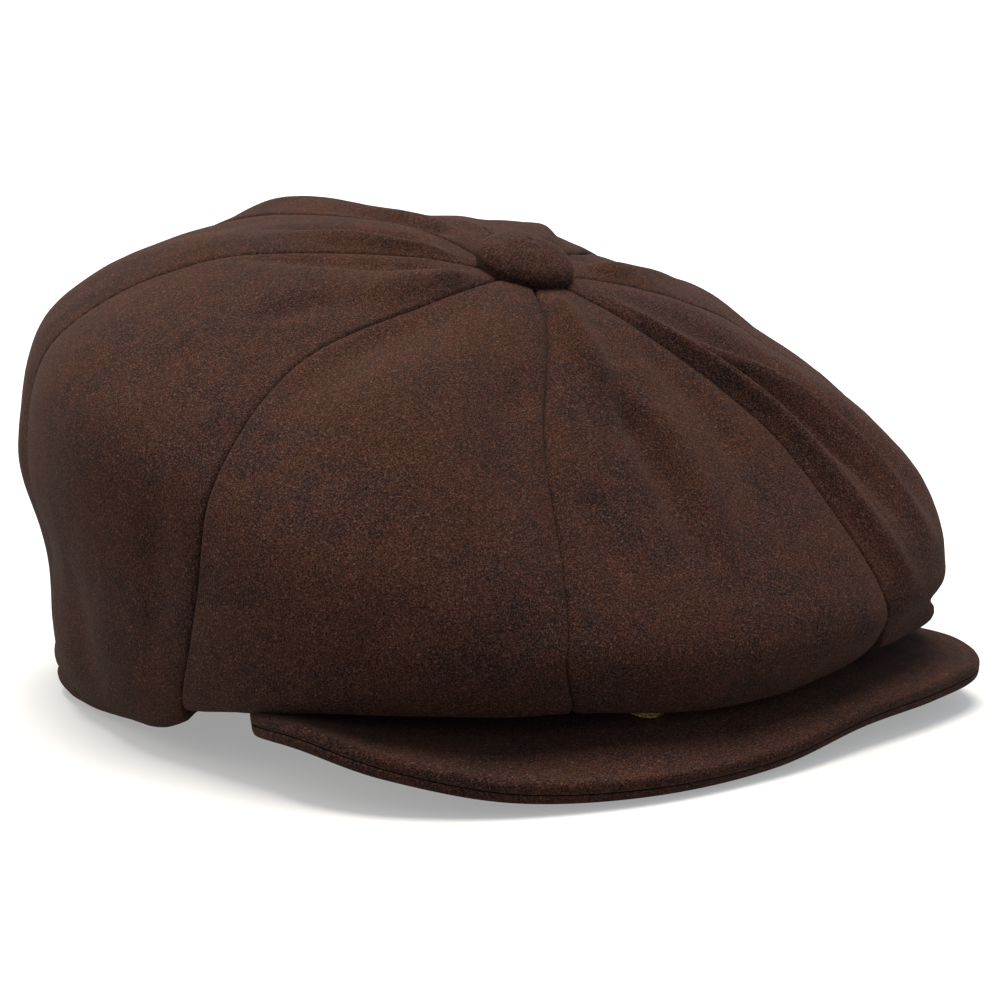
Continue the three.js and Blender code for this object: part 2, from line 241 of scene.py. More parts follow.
# ---------- meshes ----------
def add_object(name, vertices, polygons, material):
    """A piece from points in millimetres and its faces: an array of quads, or a list of any faces."""
    mesh = bpy.data.meshes.new(name)
    placed = (np.asarray(vertices, float) + [0, SHIFT_Y, 0]) * MM
    if isinstance(polygons, np.ndarray):
        corners = placed[polygons]
        a, b, c, d = (corners[:, k] for k in range(4))
        volume = (a * np.cross(b, c)).sum() + (a * np.cross(c, d)).sum()
        if volume < 0:
            polygons = polygons[:, ::-1]
        mesh.vertices.add(len(placed))
        mesh.vertices.foreach_set("co", placed.astype(np.float32).ravel())
        mesh.loops.add(polygons.size)
        mesh.loops.foreach_set("vertex_index", np.ascontiguousarray(polygons, np.int32).ravel())
        mesh.polygons.add(len(polygons))
        mesh.polygons.foreach_set("loop_start", np.arange(0, polygons.size, 4, dtype=np.int32))
        mesh.update(calc_edges=True)
    else:
        mesh.from_pydata(placed.tolist(), [], polygons)
    mesh.validate()
    mesh.shade_smooth()
    mesh.materials.append(material)
    piece = bpy.data.objects.new(name, mesh)
    bpy.context.scene.collection.objects.link(piece)
    return piece


def closed_sheet(outer, inner, loop=False):
    """The vertices and faces of a closed sheet between two grids of points."""
    columns, rows = outer.shape[:2]
    vertices = np.concatenate([outer.reshape(-1, 3), inner.reshape(-1, 3)])
    index = np.arange(2 * columns * rows).reshape(2, columns, rows)
    if loop:
        index = np.concatenate([index, index[:, :1]], axis=1)
    top, bottom = index

    def quads(a, b, c, d):
        return np.stack([a, b, c, d], -1).reshape(-1, 4)

    faces = [
        quads(top[:-1, :-1], top[1:, :-1], top[1:, 1:], top[:-1, 1:]),
        quads(bottom[:-1, :-1], bottom[:-1, 1:], bottom[1:, 1:], bottom[1:, :-1]),
        quads(top[:-1, 0], bottom[:-1, 0], bottom[1:, 0], top[1:, 0]),
        quads(top[:-1, -1], top[1:, -1], bottom[1:, -1], bottom[:-1, -1]),
    ]
    if not loop:
        faces += [
            quads(top[0, :-1], top[0, 1:], bottom[0, 1:], bottom[0, :-1]),
            quads(top[-1, :-1], bottom[-1, :-1], bottom[-1, 1:], top[-1, 1:]),
        ]
    return vertices, np.concatenate(faces)


def turned(profile, segments):
    """Rings of points about +Z, one ring for each [radius, height] pair."""
    angles = np.linspace(0, 2 * np.pi, segments, endpoint=False)
    rings = []
    for radius, height in profile:
        heights = np.full(segments, height)
        rings.append(np.stack([radius * np.cos(angles), radius * np.sin(angles), heights], -1))
    return np.array(rings)


# ---------- materials ----------
class Nodes:
    """A short way to wire one material."""

    def __init__(self, name):
        self.material = bpy.data.materials.new(name)
        self.material.use_nodes = True
        self.tree = self.material.node_tree
        self.tree.nodes.clear()
        self.output = self.tree.nodes.new("ShaderNodeOutputMaterial")
        self.shader = self.tree.nodes.new("ShaderNodeBsdfPrincipled")
        self.tree.links.new(self.shader.outputs[0], self.output.inputs[0])
        self.place = self.tree.nodes.new("ShaderNodeTexCoord").outputs["Object"]

    def link(self, a, b):
        self.tree.links.new(a, b)

    def mapped(self, scale=(1, 1, 1), turn=(0, 0, 0)):
        node = self.tree.nodes.new("ShaderNodeMapping")
        node.inputs["Scale"].default_value = scale
        node.inputs["Rotation"].default_value = turn
        self.link(self.place, node.inputs["Vector"])
        return node.outputs[0]

    def noise(self, scale, detail=3.0, roughness=0.5, vector=None):
        node = self.tree.nodes.new("ShaderNodeTexNoise")
        node.inputs["Scale"].default_value = scale
        node.inputs["Detail"].default_value = detail
        node.inputs["Roughness"].default_value = roughness
        self.link(vector or self.place, node.inputs["Vector"])
        return node.outputs["Fac"]

    def ramp(self, value, *stops):
        node = self.tree.nodes.new("ShaderNodeMapRange")
        node.interpolation_type = "SMOOTHSTEP"
        for socket, number in zip(("From Min", "From Max", "To Min", "To Max"), stops):
            node.inputs[socket].default_value = number
        self.link(value, node.inputs["Value"])
        return node.outputs["Result"]

    def math(self, operation, a, b=0.0):
        node = self.tree.nodes.new("ShaderNodeMath")
        node.operation = operation
        for socket, value in zip(node.inputs, (a, b)):
            if isinstance(value, (int, float)):
                socket.default_value = value
            else:
                self.link(value, socket)
        return node.outputs[0]

    def mix(self, share, a, b):
        node = self.tree.nodes.new("ShaderNodeMix")
        node.data_type = "RGBA"
        if isinstance(share, (int, float)):
            node.inputs["Factor"].default_value = share
        else:
            self.link(share, node.inputs["Factor"])
        for socket, value in ((node.inputs[6], a), (node.inputs[7], b)):
            if isinstance(value, tuple):
                socket.default_value = (*value, 1)
            else:
                self.link(value, socket)
        return node.outputs[2]

    def bump(self, height, strength, distance):
        node = self.tree.nodes.new("ShaderNodeBump")
        node.inputs["Strength"].default_value = strength
        node.inputs["Distance"].default_value = distance
        self.link(height, node.inputs["Height"])
        self.link(node.outputs[0], self.shader.inputs["Normal"])

    def set(self, **values):
        for name, value in values.items():
            self.shader.inputs[name.replace("_", " ")].default_value = value


def wool_material(name, shade):
    """Napped melton wool: fine mixed fibres over soft patches. shade darkens every tone alike."""
    def tone(red, green, blue):
        return (red * shade, 0.86 * green * shade, 0.74 * blue * shade)

    m = Nodes(name)
    clouds = m.ramp(m.noise(38, 3, 0.6), 0.38, 0.62, 0, 1)
    mottle = m.ramp(m.noise(170, 4, 0.7), 0.40, 0.64, 0, 1)
    clumps = m.noise(820, 3, 0.75)
    grains = m.noise(2700, 2, 0.8)
    streak_a = m.noise(1, 2, 0.6, m.mapped((3400, 1000, 1300), (0.4, 0.7, 0.3)))
    streak_b = m.noise(1, 2, 0.6, m.mapped((1000, 3400, 1300), (0.9, 0.2, 1.1)))
    streak_c = m.noise(1, 2, 0.6, m.mapped((1300, 1000, 3400), (0.2, 1.2, 0.6)))
    fibres = m.math("MAXIMUM", m.math("MAXIMUM", streak_a, streak_b), streak_c)
    base = m.mix(clouds, tone(0.0200, 0.0124, 0.0150), tone(0.0385, 0.0172, 0.0138))
    base = m.mix(m.math("MULTIPLY", mottle, 0.55), base, tone(0.0600, 0.0232, 0.0160))
    base = m.mix(m.ramp(clumps, 0.52, 0.72, 0, 0.45), base, tone(0.0860, 0.0335, 0.0205))
    base = m.mix(m.ramp(clumps, 0.28, 0.46, 0.50, 0), base, tone(0.0075, 0.0062, 0.0090))
    base = m.mix(m.ramp(grains, 0.34, 0.50, 0.92, 0), base, tone(0.0030, 0.0026, 0.0042))
    base = m.mix(m.ramp(grains, 0.51, 0.66, 0, 0.72), base, tone(0.1300, 0.0690, 0.0520))
    base = m.mix(m.ramp(fibres, 0.61, 0.75, 0, 0.68), base, tone(0.2000, 0.1150, 0.0860))
    m.link(base, m.shader.inputs["Base Color"])
    m.link(m.ramp(clumps, 0.3, 0.7, 0.90, 1.0), m.shader.inputs["Roughness"])
    height = m.math("ADD", m.math("MULTIPLY", fibres, 0.5), m.math("MULTIPLY", grains, 0.6))
    m.bump(m.math("ADD", height, m.math("MULTIPLY", clumps, 0.5)), 0.8, 0.00035)
    m.set(Sheen_Weight=0.02, Sheen_Roughness=0.35, Sheen_Tint=(1.0, 0.70, 0.55, 1), Specular_IOR_Level=0.04)
    return m.material


def satin_material():
    m = Nodes("brown_satin_lining")
    weave = m.noise(1, 2, 0.5, m.mapped((2400, 500, 2400), (0, 0, 0.78)))
    tone = m.ramp(m.noise(60, 2, 0.5), 0.3, 0.7, 0, 1)
    base = m.mix(tone, (0.024, 0.013, 0.010), (0.034, 0.018, 0.014))
    base = m.mix(m.ramp(weave, 0.4, 0.7, 0, 0.35), base, (0.055, 0.030, 0.022))
    m.link(base, m.shader.inputs["Base Color"])
    m.link(m.ramp(weave, 0.3, 0.7, 0.30, 0.46), m.shader.inputs["Roughness"])
    m.bump(weave, 0.25, 0.0002)
    m.set(Sheen_Weight=0.15, Sheen_Roughness=0.3, Specular_IOR_Level=0.5)
    return m.material


def grosgrain_material():
    m = Nodes("black_ribbed_grosgrain")
    wear = m.ramp(m.noise(90, 3, 0.6), 0.35, 0.7, 0, 1)
    yarn = m.noise(1, 2, 0.6, m.mapped((900, 900, 4200)))
    base = m.mix(wear, (0.016, 0.012, 0.011), (0.026, 0.019, 0.017))
    base = m.mix(m.ramp(yarn, 0.45, 0.7, 0, 0.5), base, (0.050, 0.038, 0.033))
    m.link(base, m.shader.inputs["Base Color"])
    m.link(m.ramp(yarn, 0.3, 0.7, 0.62, 0.8), m.shader.inputs["Roughness"])
    m.bump(yarn, 0.4, 0.0003)
    m.set(Sheen_Weight=0.1, Specular_IOR_Level=0.3)
    return m.material


def woven_material(name, low, high, scale, roughness=0.85):
    """A plain weave of two tones, such as buckram, a label or sewing thread."""
    m = Nodes(name)
    warp = m.noise(1, 1, 0.5, m.mapped((scale, scale, scale * 0.12)))
    weft = m.noise(1, 1, 0.5, m.mapped((scale * 0.12, scale * 0.12, scale)))
    weave = m.math("MAXIMUM", warp, weft)
    patches = m.ramp(m.noise(120, 3, 0.6), 0.35, 0.65, 0, 0.35)
    threads = m.mix(m.ramp(weave, 0.4, 0.75, 0, 1), low, high)
    m.link(m.mix(patches, threads, low), m.shader.inputs["Base Color"])
    m.link(m.ramp(weave, 0.3, 0.7, roughness, roughness - 0.12), m.shader.inputs["Roughness"])
    m.bump(weave, 0.5, 0.0003)
    return m.material


def metal_material(name, low, high, roughness):
    """Metal between two tones, with fine scratches."""
    m = Nodes(name)
    tarnish = m.ramp(m.noise(700, 4, 0.6), 0.35, 0.7, 0, 1)
    scratches = m.noise(1, 2, 0.6, m.mapped((9000, 700, 2500), (0.2, 0.4, 0.9)))
    m.link(m.mix(tarnish, low, high), m.shader.inputs["Base Color"])
    m.link(m.ramp(scratches, 0.3, 0.7, roughness - 0.08, roughness + 0.12), m.shader.inputs["Roughness"])
    m.bump(scratches, 0.15, 0.0001)
    m.set(Metallic=1.0)
    return m.material


def plastic_material():
    m = Nodes("dark_brim_board")
    grain = m.noise(1800, 3, 0.6)
    streaks = m.ramp(m.noise(80, 2, 0.5), 0.3, 0.7, 0, 1)
    m.link(m.mix(streaks, (0.020, 0.020, 0.021), (0.032, 0.032, 0.034)), m.shader.inputs["Base Color"])
    m.link(m.ramp(grain, 0.3, 0.7, 0.45, 0.62), m.shader.inputs["Roughness"])
    m.bump(grain, 0.3, 0.0002)
    return m.material


wool = wool_material("brown_melton_wool", 0.375)
# The brim's copy of the wool is a little darker than the crown's: painted shade for the crown's shadow on
# the brim.
brim_wool_painted_shade = wool_material("brown_melton_wool_brim_painted_shade", 0.36)
satin = satin_material()
grosgrain = grosgrain_material()
buckram = woven_material("pale_buckram", (0.42, 0.37, 0.29), (0.62, 0.56, 0.46), 2600)
label_cloth = woven_material("plain_label_cloth", (0.52, 0.47, 0.38), (0.72, 0.67, 0.56), 4200)
thread = woven_material("dark_brown_thread", (0.030, 0.017, 0.013), (0.070, 0.042, 0.030), 6000, 0.7)
brass = metal_material("worn_brass", (0.90, 0.62, 0.20), (1.0, 0.80, 0.38), 0.26)
spring_steel = metal_material("spring_steel", (0.42, 0.42, 0.43), (0.60, 0.60, 0.60), 0.32)
button_metal = metal_material("zinc_plated_steel", (0.40, 0.40, 0.41), (0.55, 0.55, 0.56), 0.38)
brim_plastic = plastic_material()

# ---------- folds ----------
# Each fold is a line on one panel. Its points are (degrees from the front, down), its height is in
# millimetres with a valley below zero, and its two widths are towards the right and the left.
FOLDS = {
    "front": [
        ([(-17, 0.05), (-14, 0.12), (-11, 0.19), (-9, 0.28)], 4.4, 4, 5),
        ([(-8, 0.20), (-5, 0.27), (-4, 0.34), (-5, 0.46)], -3.4, 5, 4),
        ([(-1, 0.21), (0, 0.28), (0, 0.36), (-1, 0.48)], 2.0, 4, 6),
        ([(12, 0.15), (12, 0.22), (11, 0.30), (7, 0.42)], -1.8, 5, 5),
        ([(-17, 0.33), (-17, 0.38), (-15, 0.47)], -1.2, 3, 4),
    ],
    "front_left": [
        ([(26, 0.06), (26.5, 0.14), (26, 0.22), (26, 0.33), (27, 0.46), (30, 0.66)], 3.6, 3.5, 3.5),
        ([(30.5, 0.14), (31, 0.22), (31, 0.30), (32, 0.38), (33, 0.52)], -2.4, 2.2, 2.4),
        ([(35, 0.16), (36, 0.26), (37, 0.36), (37, 0.52)], 2.4, 3, 4),
        ([(39, 0.10), (42, 0.20), (43, 0.28), (43, 0.38), (42, 0.52)], -4.5, 6, 8),
    ],
    "left": [
        ([(82, 0.07), (84, 0.16), (88, 0.27)], 2.4, 5, 6),
        ([(95, 0.09), (97, 0.18), (101, 0.30)], -2.0, 4, 6),
        ([(84, 0.50), (82, 0.62), (80, 0.72)], -2.2, 6, 8),
    ],
    "back_left": [
        ([(127, 0.06), (128, 0.15), (130, 0.27)], 2.6, 4, 6),
        ([(139, 0.08), (140, 0.18), (141, 0.30)], -2.2, 5, 5),
        ([(146, 0.34), (143, 0.48), (145, 0.62)], -1.6, 6, 8),
    ],
    "back": [
        ([(172, 0.06), (171, 0.16), (170, 0.28)], -2.2, 4, 6),
        ([(184, 0.07), (186, 0.18), (189, 0.32)], 2.0, 5, 5),
        ([(195, 0.08), (195, 0.14), (196, 0.22)], -2.4, 4, 5),
    ],
    "back_right": [
        ([(-119, 0.05), (-122, 0.12), (-125, 0.18), (-127, 0.24)], 2.0, 3, 3.5),
        ([(-130, 0.09), (-134, 0.16), (-135, 0.24)], -2.2, 4, 3),
    ],
    "right": [
        ([(-88, 0.06), (-95, 0.13), (-103, 0.20), (-110, 0.27)], -2.4, 4, 4),
        ([(-76, 0.06), (-79, 0.14), (-81, 0.21)], 2.6, 6, 6),
        ([(-79, 0.20), (-80, 0.24), (-81, 0.29)], -1.4, 4, 5),
        ([(-96, 0.58), (-90, 0.66), (-84, 0.76)], -1.2, 9, 10),
        ([(-74, 0.45), (-74, 0.56), (-73, 0.68)], -0.9, 4, 6),
    ],
    "front_right": [
        ([(-59, 0.14), (-61, 0.24), (-62, 0.31), (-62, 0.42)], -1.5, 5, 8),
        ([(-28, 0.20), (-29, 0.30), (-29, 0.42)], -1.0, 5, 4),
        ([(-42, 0.45), (-44, 0.56), (-43, 0.66)], -0.9, 6, 8),
    ],
}


# Each lump is (degrees from the front, down, height, width in degrees, width in down).
RIGHT_SIDE = [
    (-118, 0.40, -0.4, 16, 0.06), (-121, 0.545, 1.8, 13, 0.04), (-108, 0.615, -3.2, 18, 0.045),
    (-122, 0.665, -2.0, 13, 0.045), (-126, 0.79, -2.0, 18, 0.07),
]
LUMPS = {
    "front": [(-12, 0.845, 2.6, 16, 0.035), (10, 0.845, 1.6, 10, 0.035)],
    "front_left": [
        (54, 0.28, -2.6, 9, 0.07), (40, 0.79, 3.6, 16, 0.06), (45, 0.56, -0.8, 12, 0.06),
        (68, 0.31, -1.8, 8, 0.05), (79, 0.36, -2.3, 9, 0.04),
    ],
    "left": [
        (86, 0.28, 1.8, 9, 0.05), (100, 0.21, -2.6, 14, 0.10), (68, 0.31, -1.8, 8, 0.05),
        (88, 0.18, -1.2, 12, 0.05), (79, 0.36, -2.3, 9, 0.04), (120, 0.23, -1.7, 14, 0.07),
    ],
    "back_left": [(150, 0.21, -1.5, 16, 0.07), (120, 0.23, -1.7, 14, 0.07)],
    "back": [
        (-169, 0.255, 2.6, 7, 0.045), (176, 0.24, -1.0, 8, 0.05), (165, 0.22, -1.6, 8, 0.05),
        (-171, 0.13, -1.4, 8, 0.035), (-175, 0.185, -1.8, 8, 0.035),
    ],
    "back_right": [(-140, 0.27, -3.0, 13, 0.06), *RIGHT_SIDE],
    "right": [
        *RIGHT_SIDE, (-106, 0.855, 1.5, 11, 0.03), (-88, 0.865, 1.0, 12, 0.04), (-72, 0.870, 3.2, 8, 0.045),
    ],
    "front_right": [
        (-45, 0.845, 2.0, 14, 0.035), (-25, 0.845, 2.6, 14, 0.035), (-52, 0.33, 1.4, 18, 0.10),
        (-47, 0.73, 2.0, 18, 0.08),
    ],
}


def lump_height(angles, down, name):
    """How far the lumps of one panel lift it, in millimetres."""
    total = 0
    for at, row, height, wide, tall in LUMPS[name]:
        turn = (np.degrees(angles) - at + 180) % 360 - 180
        total = total + height * np.exp(-((turn / wide) ** 2) - ((down - row) / tall) ** 2)
    return total


def fold_height(points, normals, fold):
    """How far one fold lifts each point of its panel, in millimetres."""
    line, height, to_right, to_left = fold
    line = np.array(line, float)
    samples = open_curve(line, np.linspace(0, 1, 25))
    path = crown_base(np.radians(samples[:, 0])[None, :], samples[:, 1])[0]
    flat = points.reshape(-1, 3)
    nearest = np.full(len(flat), 1e9)
    along = np.zeros(len(flat))
    offset = np.zeros_like(flat)
    tangent = np.zeros_like(flat)
    for k in range(len(path) - 1):
        step = path[k + 1] - path[k]
        t = np.clip((flat - path[k]) @ step / (step @ step), 0, 1)
        away = flat - path[k] - t[:, None] * step
        distance = np.linalg.norm(away, axis=1)
        closer = distance < nearest
        nearest = np.where(closer, distance, nearest)
        along = np.where(closer, (k + t) / (len(path) - 1), along)
        offset = np.where(closer[:, None], away, offset)
        tangent = np.where(closer[:, None], step, tangent)
    side = (np.cross(normals.reshape(-1, 3), tangent) * offset).sum(1)
    width = np.where(side > 0, to_left, to_right)
    ends = smoothstep(along, -0.05, 0.3) * smoothstep(1 - along, 0, 0.4)
    lift = height * ends * np.exp(-((nearest / width) ** 2))
    return lift.reshape(points.shape[:2])


# ---------- crown panels ----------
SEAM_ROLL = 1.3          # radius of a panel's rounded edge at a seam
SEAM_PULL = 0.45         # how far a seam draws the cloth in
SEAM_PUCKER = 0.20
SEAM_ALLOWANCE = 0.9     # the turned-in edge makes the cloth this much thicker at a seam
SEAM_ZONE = [0, 0.05, 0.17, 0.38, 0.68, 1.05, 1.7, 2.8]  # columns beside a seam, by distance from it
MIDDLE_COLUMNS = 52
FLOOR_CLEARANCE = 0.02
SEAM_LAP = 0.05          # neighbours run this far into each other, so no light shows through a seam
# Low down, the seam between the front and the front right panel leans towards the front.
FRONT_SEAM = -math.pi / PANELS
FRONT_SEAM_LEAN = math.radians(5)
# A panel's rows from 0 at the button to 1 at the hem, in seven parts with more rows where it folds.
PANEL_ROWS = np.concatenate([
    np.linspace(0, 1 / 7, 22)[:-1],
    np.linspace(1 / 7, 2 / 7, 34)[:-1],
    np.linspace(2 / 7, 3 / 7, 26)[:-1],
    np.linspace(3 / 7, 4 / 7, 20)[:-1],
    np.linspace(4 / 7, 5 / 7, 16)[:-1],
    np.linspace(5 / 7, 6 / 7, 13)[:-1],
    np.linspace(6 / 7, 1, 17),
])


def panel_angles(middle):
    """Angles (columns, rows) of one panel, closer together beside its seams, and each column's
    distance from the nearer seam in millimetres."""
    half = math.pi / PANELS
    rows = np.arange(len(PANEL_ROWS))
    seams = np.array([middle - half, middle + half])[:, None].repeat(len(rows), 1)
    leaning = np.abs((seams - FRONT_SEAM + math.pi) % (2 * math.pi) - math.pi) < 0.01
    seams = seams + leaning * FRONT_SEAM_LEAN * smoothstep(PANEL_ROWS, 0.6, 0.98)
    turn = 0.004
    speed = np.linalg.norm(
        crown_base(seams + turn, PANEL_ROWS) - crown_base(seams - turn, PANEL_ROWS), axis=-1) / (2 * turn)
    width = speed.mean(0) * 2 * half
    zone = np.array(SEAM_ZONE)[:, None] * np.minimum(1, 0.42 * width / SEAM_ZONE[-1])[None, :]
    low = seams[0] + (zone - SEAM_LAP) / speed[0]
    high = seams[1] - (zone[::-1] - SEAM_LAP) / speed[1]
    share = np.linspace(0, 1, MIDDLE_COLUMNS + 2)[1:-1, None]
    between = low[-1] + (high[0] - low[-1]) * share
    angles = np.concatenate([low, between, high])
    distance = np.minimum((angles - seams[0]) * speed[0], (seams[1] - angles) * speed[1])
    return angles, np.maximum(distance + SEAM_LAP, 0)


def panel_surface(name, middle):
    """The outer and the inner face of one panel, with its folds, lumps and rolled edges."""
    angles, distance = panel_angles(middle)
    base = crown_base(angles, PANEL_ROWS)
    normal = crown_normal(angles, PANEL_ROWS)
    lift = sum(fold_height(base, normal, fold) for fold in FOLDS[name])
    lift = lift * smoothstep(distance, 0, 5)
    down = PANEL_ROWS[None, :]
    free = smoothstep(distance, 0, 9)
    lift = lift + free * (0.8 * noise(base, 26, 1) + 0.22 * noise(base, 11, 2))
    lift = lift + 0.05 * noise(base, 3.5, 3)
    # The cloth draws in a little along each seam, and puckers there.
    lift = lift - SEAM_PULL * np.exp(-distance / 4) * smoothstep(down, 0.03, 0.2)
    lift = lift + SEAM_PUCKER * noise(base, 8, 4) * np.exp(-(((distance - 3) / 4) ** 2))
    lift = (lift + lump_height(angles, down, name)) * smoothstep(1.02 - down, 0, 0.12)
    roll = np.clip(SEAM_ROLL - distance, 0, SEAM_ROLL)
    rolled = SEAM_ROLL - np.sqrt(SEAM_ROLL**2 - roll**2)
    thick = WOOL_THICK + SEAM_ALLOWANCE * np.exp(-((distance / 1.4) ** 2))
    outer = base + normal * (lift - rolled)[..., None]
    inner = base + normal * (lift - thick)[..., None]
    for layer in (outer, inner):
        layer[..., 2] = np.maximum(layer[..., 2], FLOOR_CLEARANCE)
    return outer, inner


# Each panel's widest place and its length from the button to the hem in metres, and its cut area.
PANEL_CUTS = {
    "front": (0.104, 0.163, 0.0112),
    "front_left": (0.095, 0.198, 0.0121),
    "left": (0.095, 0.218, 0.0142),
    "back_left": (0.093, 0.238, 0.0153),
    "back": (0.093, 0.254, 0.0155),
    "back_right": (0.093, 0.238, 0.0153),
    "right": (0.095, 0.218, 0.0142),
    "front_right": (0.095, 0.198, 0.0121),
}
for number, (name, (width, length, area)) in enumerate(PANEL_CUTS.items()):
    outer, inner = panel_surface(name, 2 * math.pi * number / PANELS)
    vertices, faces = closed_sheet(outer, inner)
    panel = add_object("wool_panel_" + name, vertices, faces, wool)
    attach(panel, "crown")
    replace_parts(panel, "panel_" + name)

# ---------- brim ----------
edge_fine = open_curve(np.array(BRIM_EDGE, float), np.linspace(0, 1, 2001))
edge_length = np.concatenate([[0], np.cumsum(np.linalg.norm(np.diff(edge_fine, axis=0), axis=1))])
edge_length /= edge_length[-1]


def brim_point(side, out):
    """The middle of the brim's thickness: side (columns, 1) from -1 to 1, out (1, rows) from 0 to 1."""
    side = np.asarray(side, float)
    out = np.asarray(out, float)
    root = opening_point(BRIM_ROOT_ANGLE * side, BRIM_ROOT_OUTWARD)
    root[..., 2] = rim_height(root[..., 1]) + BRIM_ROOT_LIFT
    edge = np.stack([np.interp((side + 1) / 2, edge_length, edge_fine[:, k]) for k in range(3)], -1)
    return root + (edge - root) * out[..., None]


def brim_normal(side, out):
    e = 0.01
    across = brim_point(np.minimum(side + e, 1), out) - brim_point(np.maximum(side - e, -1), out)
    along = brim_point(side, np.minimum(out + e, 1)) - brim_point(side, np.maximum(out - e, 0))
    normal = np.cross(along, across)
    return normal / np.linalg.norm(normal, axis=-1, keepdims=True)


BRIM_THICK = 1.5         # of one cloth
BRIM_FROM = 1.2          # from the middle of the brim to the cloth, with the board between
EDGE_ROLL = 1.5
EDGE_HALF_THICK = 0.9
BRIM_COLUMNS = 220
BRIM_HALF_LENGTH = 160   # along the outer edge
BRIM_DEPTH = 45          # from the root to the outer edge


def brim_cloth(name, up):
    """One cloth of the brim, up is 1 for the top and -1 for the under cloth."""
    ends = 1 - np.array([0, 0.1, 0.3, 0.6, 1.0, 1.5]) / BRIM_HALF_LENGTH
    side = np.concatenate([-ends, np.linspace(-0.985, 0.985, BRIM_COLUMNS), ends[::-1]])[:, None]
    near_edge = 1 - np.array([3.6, 2.6, 1.9, 1.3, 0.85, 0.5, 0.25, 0.1, 0])[None, :] / BRIM_DEPTH
    out = np.concatenate([np.linspace(0, near_edge[0, 0], 44)[None, :-1], near_edge], axis=1)
    side, out = np.broadcast_arrays(side, out)
    middle = brim_point(side, out)
    normal = brim_normal(side, out)
    reach = np.linalg.norm(brim_point(side, np.ones_like(out)) - middle, axis=-1)
    reach = np.minimum(reach, (1 - np.abs(side)) * BRIM_HALF_LENGTH)
    roll = np.clip(EDGE_ROLL - reach, 0, EDGE_ROLL)
    rolled = EDGE_ROLL - np.sqrt(EDGE_ROLL**2 - roll**2)
    rolled = rolled * (BRIM_FROM + BRIM_THICK - EDGE_HALF_THICK) / EDGE_ROLL
    waves = 0.35 * noise(middle, 22, 5) + 0.16 * noise(middle, 7, 6) + 0.06 * noise(middle, 2.5, 7)
    waves = waves * smoothstep(reach, 0, 8)
    high = BRIM_FROM + BRIM_THICK - rolled + waves
    low = np.minimum(BRIM_FROM, high - 0.1) * smoothstep(reach, -0.6, 2.2)
    low = np.maximum(low, 0.12)
    high = np.maximum(high, low + 0.1)
    outer = middle + normal * (up * high)[..., None]
    inner = middle + normal * (up * low)[..., None]
    for layer in (outer, inner):
        layer[..., 2] = np.maximum(layer[..., 2], FLOOR_CLEARANCE)
    vertices, faces = closed_sheet(outer, inner)
    cloth = add_object(name, vertices, faces, brim_wool_painted_shade)
    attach(cloth, "brim")
    return cloth


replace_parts(brim_cloth("wool_brim_top", 1), "brim_top_cloth")
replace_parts(brim_cloth("wool_brim_under", -1), "brim_under_cloth")


ALLOWANCE_OUTER = 2.85   # outward from the head opening
ALLOWANCE_INNER = 2.45
ALLOWANCE_BOTTOM = 1     # above the rim
ALLOWANCE_HEIGHT = 13
ALLOWANCE_PAST_ROOT = math.radians(7)


def brim_seam_allowance():
    """The strip of wool that joins the brim to the crown inside the seam."""
    reach = BRIM_ROOT_ANGLE + ALLOWANCE_PAST_ROOT
    angles = np.linspace(-reach, reach, 102)[:, None]
    heights = np.linspace(0, 1, 14)[None, :]
    angles, heights = np.broadcast_arrays(angles, heights)
    layers = []
    for outward in (ALLOWANCE_OUTER, ALLOWANCE_INNER):
        points = opening_point(angles, outward)
        lift = ALLOWANCE_BOTTOM + ALLOWANCE_HEIGHT * heights
        points[..., 2] = rim_height(points[..., 1]) + lift + 0.1 * noise(points, 6, 8)
        layers.append(points)
    vertices, faces = closed_sheet(*layers)
    strip = add_object("brim_seam_allowance", vertices, faces, wool)
    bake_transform(strip)


brim_seam_allowance()

# ---------- button ----------
def button_cover():
    """The wool that covers the button, down to the panels round it."""
    r = BUTTON_RADIUS
    outside = np.array([
        [r - 3, -2.2], [r - 1.1, -2.1], [r - 0.1, 0.3], [r, 1.9], [r * 0.87, 4.2], [r * 0.55, 6.3],
        [r * 0.2, 7.3],
    ])
    inside = np.array([
        [r * 0.2, 5.8], [r * 0.5, 5], [r - 2.8, 3.2], [r - 1.7, 1.3], [r - 2.4, -0.6], [r - 3, -1.2],
    ])
    outside = open_curve(outside, np.linspace(0, 1, 34))
    inside = open_curve(inside, np.linspace(0, 1, 16))
    profile = np.concatenate([outside, [[0.02, 7.45], [0.02, 5.95]], inside])
    segments = 96
    rings = turned(profile, segments)
    lumps = 0.28 * noise(rings, 5, 9) + 0.14 * noise(rings, 1.8, 10)
    direction = rings - np.array([0, 0, 3])
    direction /= np.linalg.norm(direction, axis=-1, keepdims=True)
    on_cover = (np.arange(len(profile)) < len(outside) + 1)[:, None, None]
    rings = rings + direction * lumps[..., None] * on_cover
    c, s = math.cos(BUTTON_TILT), math.sin(BUTTON_TILT)
    tilt = np.array([[1, 0, 0], [0, c, -s], [0, s, c]])
    points = rings @ tilt.T + [0, BUTTON_Y, BUTTON_Z + 2]
    count = len(profile)
    index = np.arange(count * segments).reshape(count, segments)
    index = np.concatenate([index, index[:, :1]], axis=1)
    index = np.concatenate([index, index[:1]], axis=0)
    faces = np.stack([index[:-1, :-1], index[1:, :-1], index[1:, 1:], index[:-1, 1:]], -1).reshape(-1, 4)
    cover = add_object("wool_button_cover", points.reshape(-1, 3), faces, wool)
    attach(cover, "crown")
    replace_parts(cover, "button_cover")


button_cover()

